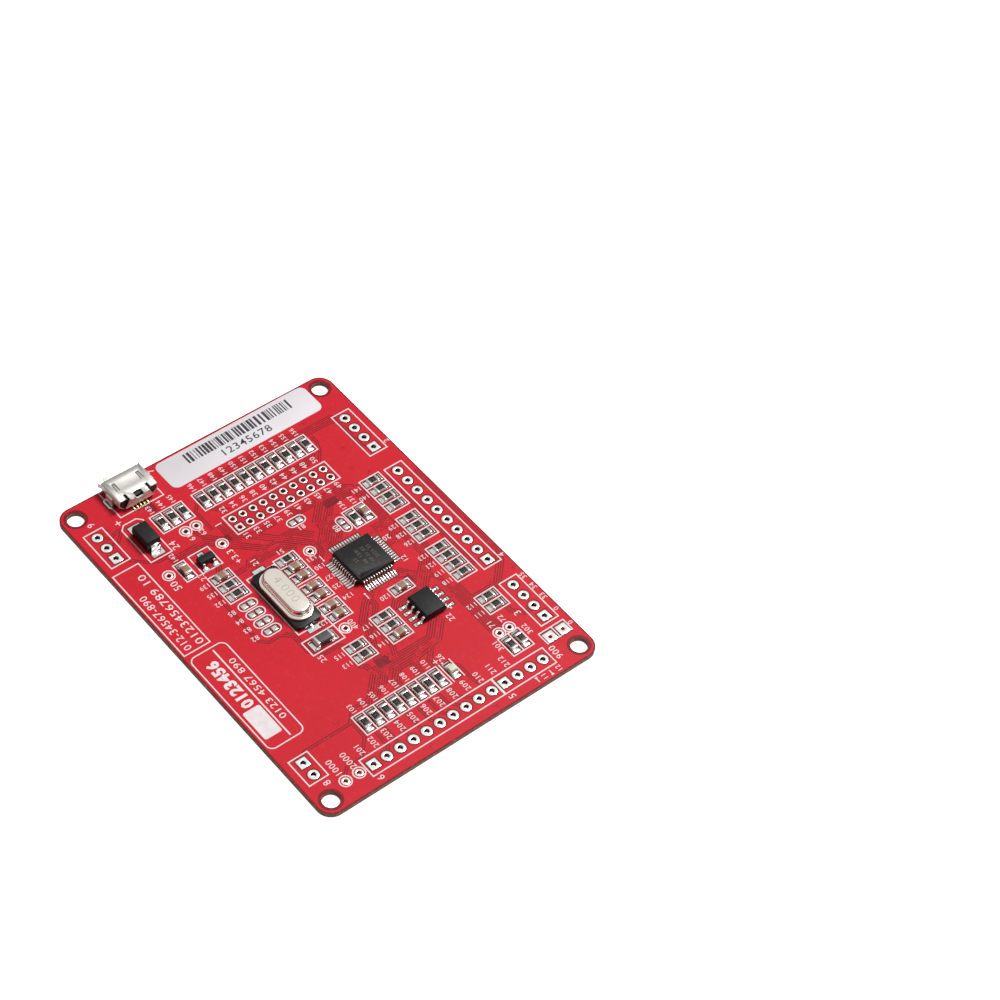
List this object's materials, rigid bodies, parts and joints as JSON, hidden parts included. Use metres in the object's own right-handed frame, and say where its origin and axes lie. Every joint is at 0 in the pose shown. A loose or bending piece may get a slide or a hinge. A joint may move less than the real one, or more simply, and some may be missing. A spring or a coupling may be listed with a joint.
{
  "type": "microcontroller development board",
  "caption": "Flat red circuit board with a square microcontroller, crystal, micro-USB socket, rows of empty header holes and corner mounting holes.",
  "frame": {"origin": "centre of the four mounting holes, on the underside of the board", "axes": "+X along the long edge towards the USB socket, +Y towards the three-pin header's edge, +Z out of the component side"},
  "size_m": [0.0714, 0.0534, 0.0035],
  "materials": {
    "alumina": "white alumina",
    "black_epoxy": "moulded epoxy",
    "black_glaze": "black glass glaze",
    "black_plastic": "moulded black plastic",
    "capacitor_ceramic": "tan ceramic",
    "copper": "etched copper",
    "ferrite": "grey ferrite",
    "glass_epoxy": "bare glass-epoxy laminate",
    "gold_plate": "thin gold plate",
    "label_paper": "pale coated paper",
    "led_resin": "milky resin",
    "nickel_steel": "satin nickel plate",
    "plated_steel_shell": "drawn nickel-plated steel",
    "quartz": "polished quartz",
    "red_solder_mask": "glossy red solder mask",
    "resistive_film": "thick film",
    "silicon": "polished silicon",
    "solder": "bright solder",
    "tinned_copper": "hot-air levelled tin",
    "tinned_lead": "matte tin plate",
    "white_ink": "printed white ink"
  },
  "bodies": {
    "root": {"capacitor_bodies": "capacitor_ceramic", "capacitor_end_caps": "tinned_lead", "copper_bottom": "copper", "copper_top": "copper", "crystal_can": "nickel_steel", "crystal_header_plate": "nickel_steel", "crystal_leads": "tinned_lead", "crystal_quartz_blank": "quartz", "crystal_seat": "black_plastic", "display_header_barrels": "tinned_copper", "eight_lead_ic_body": "black_epoxy", "eight_lead_ic_die": "silicon", "eight_lead_ic_leads": "tinned_lead", "ferrite_bead_body": "ferrite", "ferrite_bead_end_caps": "tinned_lead", "ground_pad_barrels": "tinned_copper", "header_barrels": "tinned_copper", "jumper_lands": "tinned_copper", "label": "label_paper", "laminate_core": "glass_epoxy", "led_base": "led_resin", "led_die": "silicon", "led_lens": "led_resin", "led_terminals": "gold_plate", "microcontroller_body": "black_epoxy", "microcontroller_die": "silicon", "microcontroller_die_paddle": "copper", "microcontroller_leads": "tinned_lead", "power_diode_body": "black_epoxy", "power_diode_die": "silicon", "power_diode_leads": "tinned_lead", "regulator_body": "black_epoxy", "regulator_die": "silicon", "regulator_leads": "tinned_lead", "resistor_end_caps": "tinned_lead", "resistor_films": "resistive_film", "resistor_glaze": "black_glaze", "resistor_substrates": "alumina", "silkscreen": "white_ink", "smd_lands": "tinned_copper", "solder_fillets": "solder", "solder_mask_bottom": "red_solder_mask", "solder_mask_top": "red_solder_mask", "test_point_barrels": "tinned_copper", "usb_contacts": "gold_plate", "usb_insulator": "black_plastic", "usb_shell": "plated_steel_shell", "usb_tab_barrels": "tinned_copper", "via_barrels": "copper"}
  },
  "joints": []
}
